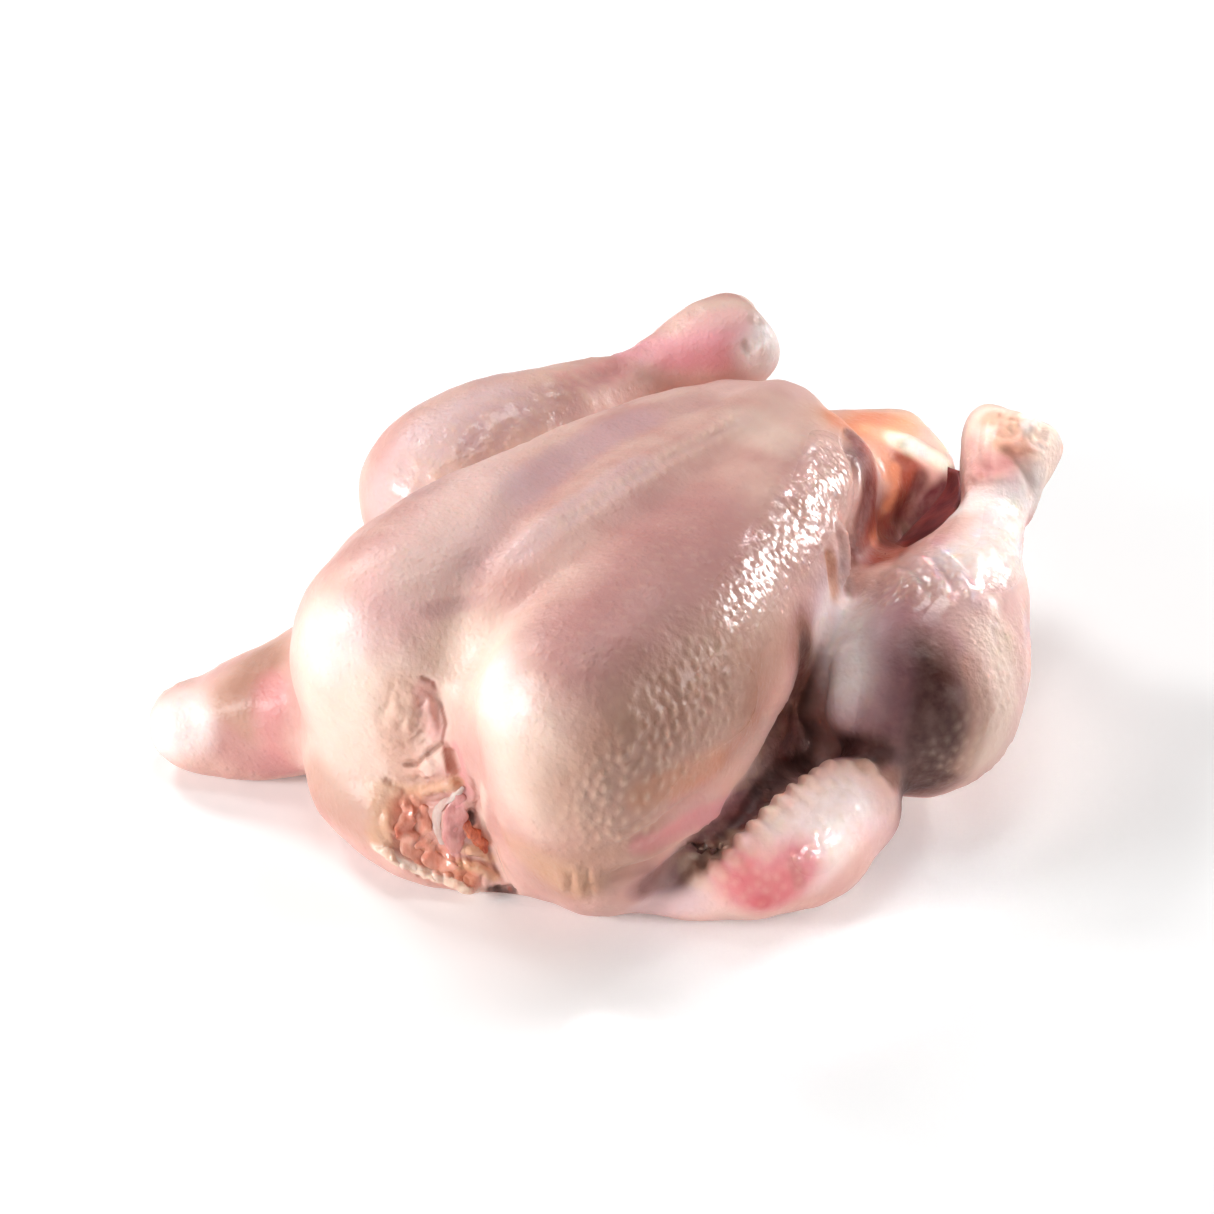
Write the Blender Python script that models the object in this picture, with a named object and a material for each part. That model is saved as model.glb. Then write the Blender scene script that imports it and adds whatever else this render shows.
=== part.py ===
"""A whole raw chicken, plucked and drawn, lying on its back with the breast up.

The neck end points along -Y, the legs along +Y, and the bird's right side along +X.
It is one piece of meat and skin, so it is one solid. Its parts are lofted one by one,
joined by a union, and the union's sharp joints are smoothed as skin smooths them.
"""

import math

import bmesh
import bpy
import numpy as np
from mathutils import Matrix, Vector

MM = 0.001

# Driving sizes of a bird of about 1.7 kg
BREAST_FRONT = -86.0 * MM
BREAST_LENGTH = 180.0 * MM
BREAST_HEIGHT = 98.0 * MM
BREAST_HALF_WIDTH = 66.0 * MM
KNEE_RADIUS = 30.0 * MM
ANKLE_RADIUS = 10.5 * MM
LEFT_HOCK_RADIUS = 17.0 * MM
RIGHT_HOCK_RADIUS = 15.0 * MM
LEFT_FOREARM_RADIUS = 18.0 * MM
RIGHT_FOREARM_RADIUS = 19.0 * MM

# The level, above the modelled underside, down to which the back is pressed flat
TABLE_HEIGHT = 1.0 * MM

# Joints of the limbs in millimetres: x to the bird's right, y to its tail, z up
LEFT_LEG = {"hip": (-36, 66, 28), "knee": (-83, 28, 50), "ankle": (-61, 99, 69), "hock": (-47, 129, 74)}
RIGHT_LEG = {"hip": (36, 74, 28), "knee": (80, 38, 38), "ankle": (59, 109, 57), "hock": (51, 132, 69)}
LEFT_WING = {
    "shoulder": (-52, -42, 32),
    "elbow": (-97, -73, 15),
    "wrist": (-66, -40, 16),
    "tip": (-60, 8, 12),
}
RIGHT_WING = {
    "shoulder": (46, 0, 12),
    "elbow": (82, 1, 21),
    "wrist": (72, -34, 17),
    "tip": (50, -52, 6),
}

# Creases and ridges: corners of the line, how far the stroke reaches, how far it moves the skin
STROKES = [
    ([(0, -76, 78), (7, -84, 64), (12, -87, 50), (14, -84, 32), (15, -76, 12)], 10, -7),
    ([(-4, -82, 26), (4, -80, 16)], 15, -7),
    ([(0, 126, 58), (8, 128, 44), (20, 108, 34)], 6, -4),
    ([(24, 132, 66), (27, 126, 52), (26, 108, 40)], 6, -4),
    ([(66, 4, 26), (62, -12, 16), (58, -30, 9), (53, -40, 5)], 9, -6),
]

# Fineness of the joined surface
VOXEL = 2.2 * MM
SKIN_SMOOTHING = 5
TRIANGLES = 10500
RING_SIDES = 40
RINGS_PER_SPAN = 5
STROKE_STEPS = 4
CAP_ANGLES = [math.radians(a) for a in (20, 40, 58, 73, 85)]

for old in list(bpy.data.objects):
    bpy.data.objects.remove(old, do_unlink=True)


def place(x, y, z):
    """A point given in millimetres."""
    return Vector((x, y, z)) * MM


def spline(rows, per_span):
    """Rows of numbers read off a smooth curve through the given rows."""
    rows = np.array(rows, float)
    padded = np.vstack([2 * rows[0] - rows[1], rows, 2 * rows[-1] - rows[-2]])
    out = []
    for i in range(1, len(padded) - 2):
        a, b, c, d = padded[i - 1 : i + 3]
        for t in np.arange(per_span) / per_span:
            out.append(
                b + 0.5 * t * (c - a + t * (2 * a - 5 * b + 4 * c - d + t * (3 * (b - c) + d - a)))
            )
    out.append(rows[-1])
    return np.array(out)


def ring(bm, centre, along, half_width, half_height):
    """One elliptical ring of edges across the direction along."""
    side = along.cross(Vector((0, 0, 1))).normalized()
    up = side.cross(along)
    frame = Matrix(
        (
            (side.x * half_width, up.x * half_height, along.x, centre.x),
            (side.y * half_width, up.y * half_height, along.y, centre.y),
            (side.z * half_width, up.z * half_height, along.z, centre.z),
            (0, 0, 0, 1),
        )
    )
    circle = bmesh.ops.create_circle(bm, cap_ends=False, segments=RING_SIDES, radius=1.0, matrix=frame)
    return list({e for v in circle["verts"] for e in v.link_edges})


def loft(name, stations, caps=(1.0, 1.0)):
    """A closed form through stations of (point, half width, half height), with rounded ends.

    A cap of 1 is as long as the end's smaller half size, and a smaller cap is blunter.
    """
    rows = spline([[*p, a, b] for p, a, b in stations], RINGS_PER_SPAN)
    centres = [Vector(r[:3]) for r in rows]
    befores = centres[:1] + centres[:-1]
    afters = centres[1:] + centres[-1:]
    alongs = [(after - before).normalized() for before, after in zip(befores, afters)]
    rings = [(c, t, r[3], r[4]) for c, t, r in zip(centres, alongs, rows)]
    first, last = rings[0], rings[-1]
    for angle in CAP_ANGLES:
        for end, sign, share in ((first, -1, caps[0]), (last, 1, caps[1])):
            c, t, a, b = end
            reach = sign * share * min(a, b) * math.sin(angle)
            cap = (c + t * reach, t, a * math.cos(angle), b * math.cos(angle))
            rings.insert(0, cap) if sign < 0 else rings.append(cap)
    bm = bmesh.new()
    loops = [ring(bm, *r) for r in rings]
    for one, other in zip(loops, loops[1:]):
        bmesh.ops.bridge_loops(bm, edges=one + other)
    bmesh.ops.holes_fill(bm, edges=loops[0] + loops[-1], sides=0)
    bmesh.ops.recalc_face_normals(bm, faces=bm.faces)
    mesh = bpy.data.meshes.new(name)
    bm.to_mesh(mesh)
    bm.free()
    obj = bpy.data.objects.new(name, mesh)
    bpy.context.scene.collection.objects.link(obj)
    return obj


def shared(rows, side=0.0):
    """Stations from rows of shares: along the breast, off centre, height, half width, half height."""
    out = []
    for along, off, high, wide, tall in rows:
        x = side * off * BREAST_HALF_WIDTH
        y = BREAST_FRONT + along * BREAST_LENGTH
        centre = Vector((x, y, high * BREAST_HEIGHT))
        out.append((centre, wide * BREAST_HALF_WIDTH, tall * BREAST_HEIGHT))
    return out


def trunk():
    """The rib cage and back, flattened below where it rests."""
    rows = [
        (0.10, 0, 0.30, 0.62, 0.26),
        (0.20, 0, 0.32, 0.80, 0.33),
        (0.34, 0, 0.34, 0.87, 0.36),
        (0.50, 0, 0.34, 0.84, 0.37),
        (0.66, 0, 0.34, 0.72, 0.36),
        (0.84, 0, 0.34, 0.62, 0.34),
        (1.00, 0, 0.34, 0.50, 0.28),
    ]
    return loft("trunk", shared(rows), (0.35, 0.6))


def neck_skin():
    """The loose skin of the neck, folded under between the lobes."""
    return loft(
        "neck_skin",
        [
            (place(-34, -65, 21), 21 * MM, 22 * MM),
            (place(-10, -69, 17), 19 * MM, 19 * MM),
            (place(12, -61, 18), 17 * MM, 18 * MM),
            (place(34, -54, 20), 18 * MM, 19 * MM),
        ],
    )


def shoulder(side):
    """The flesh below the front of a lobe, down to the table."""
    lean = 3 if side < 0 else 0
    return loft(
        "shoulder",
        [
            (place(side * 36, -54 - 2 * lean, 26), 24 * MM, 26 * MM),
            (place(side * (40 + lean), -36, 30), 26 * MM, 29 * MM),
            (place(side * 42, -6, 30), 20 * MM, 26 * MM),
        ],
    )


def breast_lobe(side):
    """One breast muscle: broad and blunt at the neck end, tapering towards the keel's tail tip."""
    rows = [
        (0.15, 0.48, 0.48, 0.49, 0.46),
        (0.25, 0.46, 0.52, 0.55, 0.46),
        (0.37, 0.42, 0.58, 0.56, 0.41),
        (0.52, 0.37, 0.61, 0.53, 0.36),
        (0.66, 0.31, 0.63, 0.49, 0.34),
        (0.80, 0.24, 0.65, 0.43, 0.31),
        (0.91, 0.17, 0.66, 0.37, 0.27),
    ]
    return loft("lobe", shared(rows, side), (0.78, 0.75))


def keel():
    """The breast bone's low ridge between the lobes."""
    rows = [
        (0.16, 0, 0.42, 0.22, 0.24),
        (0.26, 0, 0.64, 0.32, 0.28),
        (0.40, 0, 0.755, 0.38, 0.24),
        (0.70, 0, 0.78, 0.32, 0.215),
        (0.93, 0, 0.76, 0.26, 0.20),
    ]
    return loft("keel", shared(rows), (0.6, 0.8))


def vent():
    """The loose skin and fat round the vent, bulging out between the legs."""
    return loft(
        "vent",
        [
            (place(2, 78, 46), 32 * MM, 30 * MM),
            (place(8, 102, 48), 29 * MM, 27 * MM),
            (place(18, 123, 50), 22 * MM, 21 * MM),
        ],
        (0.5, 0.7),
    )


def tail():
    """The fatty tail stump under the vent."""
    return loft(
        "tail",
        [
            (place(0, 90, 20), 26 * MM, 18 * MM),
            (place(2, 114, 18), 17 * MM, 14 * MM),
            (place(3, 128, 21), 10 * MM, 9 * MM),
        ],
        (0.5, 1.0),
    )


def leg(name, joints, hock_radius):
    """Thigh from hip to knee, drumstick from knee to ankle, and the cut hock joint."""
    hip, knee, ankle, hock = [place(*joints[j]) for j in ("hip", "knee", "ankle", "hock")]
    r = KNEE_RADIUS
    thigh = [
        (hip, 1.0 * r, 0.85 * r),
        (hip.lerp(knee, 0.5), 1.0 * r, 1.0 * r),
        (knee, 0.92 * r, 0.96 * r),
    ]
    drumstick = [
        (knee, 0.95 * r, 1.0 * r),
        (knee.lerp(ankle, 0.25), 0.90 * r, 0.96 * r),
        (knee.lerp(ankle, 0.55), 0.68 * r, 0.74 * r),
        (knee.lerp(ankle, 0.82), ANKLE_RADIUS * 1.25, ANKLE_RADIUS * 1.3),
        (ankle, ANKLE_RADIUS, ANKLE_RADIUS),
        (ankle.lerp(hock, 0.6), hock_radius * 0.93, hock_radius * 0.93),
        (hock, hock_radius * 0.97, hock_radius * 0.94),
    ]
    along = (hock - ankle).normalized()
    across = along.cross(Vector((0, 0, 1))).normalized()
    knobs = []
    for side in (-1, 1):
        base = hock + across * side * 0.52 * hock_radius
        top = base + along * (0.16 - 0.10 * side) * hock_radius
        knob = [(base, 0.56 * hock_radius, 0.66 * hock_radius), (top, 0.52 * hock_radius, 0.60 * hock_radius)]
        knobs.append(loft(name + "_knob", knob, (1.0, 0.8)))
    return [loft(name + "_thigh", thigh), loft(name + "_drumstick", drumstick, (1.0, 0.4))] + knobs


def wing(name, joints, r, shoulder_share):
    """The folded wing of forearm radius r: upper arm, forearm and flat hand."""
    shoulder, elbow, wrist, tip = [place(*joints[j]) for j in ("shoulder", "elbow", "wrist", "tip")]
    middle_share = 0.45 * shoulder_share + 0.4
    upper = [
        (shoulder, shoulder_share * r, shoulder_share * r),
        (shoulder.lerp(elbow, 0.55), middle_share * r, middle_share * r),
        (elbow, 0.72 * r, 0.72 * r),
    ]
    fore = [
        (elbow, 0.78 * r, 0.78 * r),
        (elbow.lerp(wrist, 0.45), 1.1 * r, 1.0 * r),
        (wrist, 0.85 * r, 0.8 * r),
    ]
    hand = [
        (wrist, 0.8 * r, 0.75 * r),
        (wrist.lerp(tip, 0.6), 0.65 * r, 0.45 * r),
        (tip, 0.3 * r, 0.2 * r),
    ]
    return [loft(name + "_upper", upper), loft(name + "_fore", fore), loft(name + "_hand", hand)]


def web(side):
    """The skin that closes the bottom of the hollow between breast, thigh and wing."""
    front = (place(side * 45, -18, 11), 13 * MM, 12 * MM)
    back = (place(side * 60, 14, 12), 14 * MM, 14 * MM)
    return loft("web", [front, back])


def flank(side):
    """The front of the thigh, pressed against the breast."""
    upper = (place(side * 50, 44, 36), 14 * MM, 22 * MM)
    lower = (place(side * 57, 26, 29), 13 * MM, 19 * MM)
    return loft("flank", [upper, lower])


def skin_material():
    """Pale pink raw chicken skin."""
    material = bpy.data.materials.new("raw_chicken_skin")
    material.use_nodes = True
    shader = material.node_tree.nodes["Principled BSDF"]
    shader.inputs["Base Color"].default_value = (0.80, 0.50, 0.42, 1)
    shader.inputs["Roughness"].default_value = 0.35
    shader.inputs["Metallic"].default_value = 0.0
    return material


def joined(parts):
    """The union of the parts as one mesh, remeshed and smoothed."""
    group = bpy.data.collections.new("parts_of_the_bird")
    bpy.context.scene.collection.children.link(group)
    body = parts[0]
    for part in parts[1:]:
        bpy.context.scene.collection.objects.unlink(part)
        group.objects.link(part)
    union = body.modifiers.new("union", "BOOLEAN")
    union.operation = "UNION"
    union.operand_type = "COLLECTION"
    union.collection = group
    union.solver = "MANIFOLD"
    remesh = body.modifiers.new("remesh", "REMESH")
    remesh.mode = "VOXEL"
    remesh.voxel_size = VOXEL
    smooth = body.modifiers.new("smooth", "SMOOTH")
    smooth.factor = 0.5
    smooth.iterations = SKIN_SMOOTHING
    graph = bpy.context.evaluated_depsgraph_get()
    mesh = bpy.data.meshes.new_from_object(body.evaluated_get(graph))
    for part in parts:
        bpy.data.objects.remove(part, do_unlink=True)
    bpy.data.collections.remove(group)
    return mesh


def line_distance(points, line):
    """The distance from each point to a line through the given corners."""
    best = np.full(len(points), np.inf)
    for start, end in zip(line, line[1:]):
        way = end - start
        share = np.clip((points - start) @ way / (way @ way), 0, 1)
        best = np.minimum(best, np.linalg.norm(points - start - share[:, None] * way, axis=1))
    return best


def sculpted(mesh, strokes):
    """Moves the skin along its own normals: in below each crease line, out over each ridge line."""
    points = np.empty(len(mesh.vertices) * 3)
    normals = np.empty(len(mesh.vertices) * 3)
    for corners, reach, height in strokes:
        mesh.vertices.foreach_get("co", points)
        mesh.vertices.foreach_get("normal", normals)
        moved = points.reshape(-1, 3)
        line = spline([place(*c) for c in corners], STROKE_STEPS)
        near = np.clip(1 - (line_distance(moved, line) / (reach * MM)) ** 2, 0, 1) ** 2
        moved = moved + normals.reshape(-1, 3) * near[:, None] * height * MM
        mesh.vertices.foreach_set("co", moved.ravel())
        mesh.update()


def thinned(mesh, triangles):
    """The same skin with fewer, larger triangles."""
    carrier = bpy.data.objects.new("carrier", mesh)
    bpy.context.scene.collection.objects.link(carrier)
    fewer = carrier.modifiers.new("fewer", "DECIMATE")
    fewer.ratio = triangles / sum(len(f.vertices) - 2 for f in mesh.polygons)
    graph = bpy.context.evaluated_depsgraph_get()
    thin = bpy.data.meshes.new_from_object(carrier.evaluated_get(graph))
    bpy.data.objects.remove(carrier, do_unlink=True)
    return thin


def rested(mesh):
    """Presses the back flat on the table, and centres the bird over the origin."""
    points = np.empty(len(mesh.vertices) * 3)
    mesh.vertices.foreach_get("co", points)
    points = points.reshape(-1, 3)
    points[:, 2] = np.maximum(points[:, 2], TABLE_HEIGHT)
    middle = (points.min(axis=0) + points.max(axis=0)) / 2
    points -= (middle[0], middle[1], TABLE_HEIGHT)
    mesh.vertices.foreach_set("co", points.ravel())
    mesh.update()


def main():
    parts = [trunk(), neck_skin(), shoulder(-1), shoulder(1), breast_lobe(-1), breast_lobe(1)]
    parts += [keel(), vent(), tail(), web(-1), web(1), flank(-1), flank(1)]
    parts += leg("left_leg", LEFT_LEG, LEFT_HOCK_RADIUS)
    parts += leg("right_leg", RIGHT_LEG, RIGHT_HOCK_RADIUS)
    parts += wing("left_wing", LEFT_WING, LEFT_FOREARM_RADIUS, 1.5)
    parts += wing("right_wing", RIGHT_WING, RIGHT_FOREARM_RADIUS, 0.65)
    mesh = joined(parts)
    sculpted(mesh, STROKES)
    mesh = thinned(mesh, TRIANGLES)
    rested(mesh)
    mesh.materials.clear()
    mesh.materials.append(skin_material())
    mesh.shade_smooth()
    chicken = bpy.data.objects.new("chicken", mesh)
    bpy.context.scene.collection.objects.link(chicken)


main()
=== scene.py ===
# %% [markdown]
# # A whole raw chicken
# The bird lies on its back on a pale table. The imported solid gives its true form and size, and this
# lesson dresses it: finer skin with creases, folds and goose bumps, the torn neck, the cut hocks, and
# the colours of raw skin, fat and flesh.
#
# The first cell loads the imported model.

# %% Load the imported bird
import math

import bmesh
import bpy
import numpy as np
from mathutils import Matrix, Vector, noise
from mathutils.bvhtree import BVHTree
from mathutils.kdtree import KDTree


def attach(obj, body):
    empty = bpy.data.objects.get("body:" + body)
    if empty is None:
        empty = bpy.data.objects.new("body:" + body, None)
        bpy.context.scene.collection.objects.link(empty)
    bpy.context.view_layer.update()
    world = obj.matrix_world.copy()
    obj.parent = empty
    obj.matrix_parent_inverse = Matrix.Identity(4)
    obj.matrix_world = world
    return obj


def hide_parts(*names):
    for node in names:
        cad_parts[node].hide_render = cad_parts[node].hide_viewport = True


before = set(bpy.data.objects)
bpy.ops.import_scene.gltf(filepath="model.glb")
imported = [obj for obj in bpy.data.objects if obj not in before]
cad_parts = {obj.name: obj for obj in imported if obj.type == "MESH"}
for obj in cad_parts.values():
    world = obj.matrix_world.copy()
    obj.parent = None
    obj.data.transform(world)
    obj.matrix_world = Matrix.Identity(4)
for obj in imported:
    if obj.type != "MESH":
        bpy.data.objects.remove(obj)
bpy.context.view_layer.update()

MM = 0.001

# %% [markdown]
# ## The camera
# The photograph looks down on the bird from its front right. The angle, distance and lens below were
# fitted to the outline, so that a pixel of the photograph can be followed along its ray to the skin.
# That lets every crease and colour be placed where the photograph shows it, and still sit on the form.

# %% Camera
PHOTO_SIDE = 1214
SENSOR = 36.0
LENS = 100.8
CAMERA_AZIMUTH = 37.2
CAMERA_ELEVATION = 32.1
CAMERA_DISTANCE = 973 * MM
CAMERA_TARGET = Vector((-2.7, -25.4, 52.5)) * MM


def way_from(azimuth, elevation):
    """The direction from the bird to a viewer or lamp: azimuth 0 stands at the neck, 90 at its right."""
    a, e = math.radians(azimuth), math.radians(elevation)
    return Vector((math.sin(a) * math.cos(e), -math.cos(a) * math.cos(e), math.sin(e)))


def facing(way):
    """The turn that makes a camera or lamp at that side of the bird look at it."""
    return (-way).to_track_quat("-Z", "Y")


def linked(name, data):
    """An object of the mesh, camera or lamp, in the scene."""
    made = bpy.data.objects.new(name, data)
    bpy.context.scene.collection.objects.link(made)
    return made


camera_way = way_from(CAMERA_AZIMUTH, CAMERA_ELEVATION)
camera = linked("photo_camera", bpy.data.cameras.new("photo_camera"))
camera.data.sensor_width = SENSOR
camera.data.lens = LENS
camera.location = CAMERA_TARGET + camera_way * CAMERA_DISTANCE
camera.rotation_euler = facing(camera_way).to_euler()
bpy.context.scene.camera = camera
print("camera at", tuple(camera.location))

# %% [markdown]
# ## Floor and light
# The floor is plain pale paper. The photograph's light comes low from the left front and low from
# behind, so the two strongest soft boxes stand there. The rear one also gives the wet skin its gloss,
# since gloss shows only where skin mirrors a lamp. Weaker boxes all round and overhead fill the rest,
# and three small ones with a honeycomb, which narrows a beam, pick out the wing, leg and vent's lip.
# A row gives azimuth, elevation, distance, size and watts, and for a beam also its aim and spread.

# %% Floor and light
FLOOR_SIDE = 6.0
PAPER_ROUGHNESS = 0.9
PAPER_GLOW = 0.12
ROOM_LIGHT = 0.03


def srgb(text):
    """The linear colour, with full alpha, of an sRGB hex text."""
    values = [int(text[i : i + 2], 16) / 255 for i in (0, 2, 4)]
    return tuple(v / 12.92 if v <= 0.04045 else ((v + 0.055) / 1.055) ** 2.4 for v in values) + (1.0,)


def soft_box(name, azimuth, elevation, distance, size, watts, aim=CAMERA_TARGET, spread=180):
    """A square white lamp that faces a place on the bird, with its beam as wide as the spread."""
    light = bpy.data.lights.new(name, "AREA")
    light.size = size
    light.energy = watts
    light.spread = math.radians(spread)
    way = way_from(azimuth, elevation)
    box = linked(name, light)
    box.location = aim + way * distance
    box.rotation_euler = facing(way).to_euler()


def mesh_of(bm, name):
    """A mesh of what a bmesh holds. The bmesh is let go."""
    mesh = bpy.data.meshes.new(name)
    bm.to_mesh(mesh)
    bm.free()
    return mesh


bm = bmesh.new()
bmesh.ops.create_grid(bm, x_segments=1, y_segments=1, size=FLOOR_SIDE / 2)
floor = linked("floor", mesh_of(bm, "floor"))
paper = bpy.data.materials.new("pale_paper")
paper.use_nodes = True
paper_shader = paper.node_tree.nodes["Principled BSDF"]
paper_shader.inputs["Base Color"].default_value = srgb("FCFCFC")
paper_shader.inputs["Roughness"].default_value = PAPER_ROUGHNESS
paper_shader.inputs["Emission Color"].default_value = srgb("FFFFFF")
paper_shader.inputs["Emission Strength"].default_value = PAPER_GLOW
floor.data.materials.append(paper)

RIGHT_WING = Vector((86, -50, 24)) * MM
RIGHT_LEG = Vector((74, 60, 64)) * MM
VENT_LIP = Vector((33, 84, 66)) * MM
LAMPS = [
    ("key_low_left", -30, 16, 1.2, 0.30, 11.5),
    ("front_low", 12, 16, 1.2, 0.40, 1.2),
    ("glint_rear", 158, 17, 1.2, 0.24, 5.5),
    ("right_rear", 122, 18, 1.2, 0.30, 2.5),
    ("left_high", -95, 40, 1.2, 0.30, 5.5),
    ("overhead", 0, 85, 1.2, 0.30, 2.2),
    ("rear_high", 180, 65, 1.2, 0.40, 3),
    ("wing_beam", 80, 24, 0.8, 0.08, 0.012, RIGHT_WING, 7),
    ("leg_beam", 178, 30, 0.8, 0.08, 0.014, RIGHT_LEG, 6),
    ("vent_beam", 40, 60, 0.8, 0.04, 0.008, VENT_LIP, 4),
]
for lamp in LAMPS:
    soft_box(*lamp)
world = bpy.data.worlds.new("pale_room")
bpy.context.scene.world = world
world.use_nodes = True
world.node_tree.nodes["Background"].inputs["Color"].default_value = srgb("FFFFFF")
world.node_tree.nodes["Background"].inputs["Strength"].default_value = ROOM_LIGHT
bpy.context.scene.view_settings.view_transform = "Standard"
print("lamps", len(LAMPS))

# %% [markdown]
# ## Finer skin
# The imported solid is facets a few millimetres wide. A copy of it is remeshed into small even quads and
# smoothed, which is what skin does over flesh. Remeshing keeps the form and gives every place the same
# fineness, so strokes can shape it anywhere.

# %% Finer skin
SAME_POINT = 1e-6
SKIN_VOXEL = 1.8 * MM
SKIN_SMOOTHING = 10


def fine_copy(source):
    """A closed, smooth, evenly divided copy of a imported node."""
    bm = bmesh.new()
    bm.from_mesh(source.data)
    bmesh.ops.remove_doubles(bm, verts=bm.verts, dist=SAME_POINT)
    copy = linked("copy", mesh_of(bm, "copy"))
    remesh = copy.modifiers.new("even_quads", "REMESH")
    remesh.mode = "VOXEL"
    remesh.voxel_size = SKIN_VOXEL
    smooth = copy.modifiers.new("smooth", "SMOOTH")
    smooth.factor = 0.5
    smooth.iterations = SKIN_SMOOTHING
    graph = bpy.context.evaluated_depsgraph_get()
    mesh = bpy.data.meshes.new_from_object(copy.evaluated_get(graph))
    bpy.data.objects.remove(copy, do_unlink=True)
    mesh.materials.clear()
    return mesh


skin_mesh = fine_copy(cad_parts["chicken"])
print("skin faces", len(skin_mesh.polygons))

# %% [markdown]
# ## From the photograph to the skin
# A pixel is a ray from the camera. Where the ray meets the skin is the place that the pixel shows. A
# few such places make a line on the skin, and how near a point is to the line tells a brush how
# strongly to work there. The sides that the photograph hides are reached by places in millimetres
# instead, each set down on the skin nearest to it.

# %% Places on the skin
CURVE_STEPS = 4
TAPER_SHARE = 0.25
TAPER_LEAST = 0.15


def skin_tree(mesh):
    """A search tree of the mesh for rays and nearest points."""
    return BVHTree.FromPolygons([v.co for v in mesh.vertices], [tuple(f.vertices) for f in mesh.polygons])


tree = skin_tree(skin_mesh)


def on_skin(u, v):
    """The skin's point and outward normal at a pixel, or at the nearest place past the outline."""
    x = (u - PHOTO_SIDE / 2) * SENSOR / PHOTO_SIDE
    y = (PHOTO_SIDE / 2 - v) * SENSOR / PHOTO_SIDE
    ray = (facing(camera_way) @ Vector((x, y, -LENS))).normalized()
    point, normal, _, _ = tree.ray_cast(camera.location, ray)
    if point is None:
        reach = (CAMERA_TARGET - camera.location).dot(ray)
        point, normal, _, _ = tree.find_nearest(camera.location + ray * reach)
    return point, normal


def smooth_line(corners):
    """Rows of numbers read off a smooth curve through the corner rows."""
    rows = np.array([tuple(c) for c in corners], float)
    if len(rows) < 2:
        return rows
    padded = np.vstack([2 * rows[0] - rows[1], rows, 2 * rows[-1] - rows[-2]])
    out = []
    for i in range(1, len(padded) - 2):
        a, b, c, d = padded[i - 1 : i + 3]
        for t in np.arange(CURVE_STEPS) / CURVE_STEPS:
            out.append(b + 0.5 * t * (c - a + t * (2 * a - 5 * b + 4 * c - d + t * (3 * (b - c) + d - a))))
    return np.vstack([out, rows[-1]])


def seen_line(pixels):
    """A smooth line on the skin through pixels of the photograph."""
    return smooth_line([on_skin(u, v)[0] for u, v in pixels])


def real_line(places):
    """A smooth line on the skin nearest to places in millimetres, for the sides the photograph hides."""
    return smooth_line([tree.find_nearest(Vector(p) * MM)[0] for p in places])


def nearness(points, line, reach, taper=False):
    """One on the line, falling smoothly to nothing at the reach, and with taper towards its ends."""
    best = np.full(len(points), np.inf)
    along = np.full(len(points), 0.5)
    if len(line) == 1:
        best = np.linalg.norm(points - line[0], axis=1)
    for i, (start, end) in enumerate(zip(line, line[1:])):
        way = end - start
        share = np.clip((points - start) @ way / max(way @ way, 1e-12), 0, 1)
        away = np.linalg.norm(points - start - share[:, None] * way, axis=1)
        along = np.where(away < best, (i + share) / (len(line) - 1), along)
        best = np.minimum(best, away)
    near = np.clip(1 - (best / reach) ** 2, 0, 1) ** 2
    if taper and len(line) > 1:
        near *= np.clip(np.minimum(along, 1 - along) / TAPER_SHARE + TAPER_LEAST, 0, 1)
    return near


def read_rows(mesh, what="co"):
    """All the mesh's points, or its normals, as rows of three."""
    values = np.empty(len(mesh.vertices) * 3)
    mesh.vertices.foreach_get(what, values)
    return values.reshape(-1, 3)


def write_rows(mesh, rows):
    """Moves the mesh's points to the rows' places."""
    mesh.vertices.foreach_set("co", rows.ravel())
    mesh.update()


print("the middle of the photograph shows", tuple(on_skin(PHOTO_SIDE / 2, PHOTO_SIDE / 2)[0]))

# %% [markdown]
# ## Finer still where it matters
# Goose bumps and torn edges need facets well under a millimetre, but the whole bird at that fineness
# would be far too heavy. So only the regions with such detail are divided once more. A row gives the
# reach in millimetres round a line of pixels.

# %% Fine regions
FINE_REGIONS = [
    (20, (640, 790), (690, 700), (770, 590), (820, 470)),
    (14, (630, 740), (600, 820)),
    (18, (410, 700), (425, 780), (430, 840), (480, 860)),
    (17, (870, 790), (800, 830), (720, 880), (660, 900)),
    (16, (975, 690), (930, 590)),
    (15, (1010, 450), (1000, 420)),
    (13, (880, 440), (920, 470)),
    (6.5, (575, 508), (660, 462), (743, 417)),
    (12, (770, 345)),
]
FINEST_REGIONS = [
    (9, (425, 690), (440, 745)),
    (15, (420, 780), (430, 830), (470, 855)),
]


def divided_where(mesh, regions):
    """Divides each edge that lies inside one of the regions in two."""
    points = read_rows(mesh)
    inside = np.zeros(len(points), bool)
    for reach, *pixels in regions:
        inside |= nearness(points, seen_line(pixels), reach * MM) > 0
    bm = bmesh.new()
    bm.from_mesh(mesh)
    bm.verts.ensure_lookup_table()
    edges = [e for e in bm.edges if inside[e.verts[0].index] and inside[e.verts[1].index]]
    bmesh.ops.subdivide_edges(bm, edges=edges, cuts=1, use_grid_fill=True, smooth=0.0)
    bm.to_mesh(mesh)
    bm.free()


divided_where(skin_mesh, FINE_REGIONS)
divided_where(skin_mesh, FINEST_REGIONS)
print("skin faces with the fine regions", len(skin_mesh.polygons))

# %% [markdown]
# ## Creases and folds
# A sculptor would now draw with two brushes: one that presses the skin in along a line, and one that
# raises it. Each row here is such a stroke. It gives how far the brush reaches and how high it lifts,
# in millimetres, and then the photograph's pixels that the line passes through. A minus sign presses
# in. Lines that are painted too, further on, have names of their own.

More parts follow.
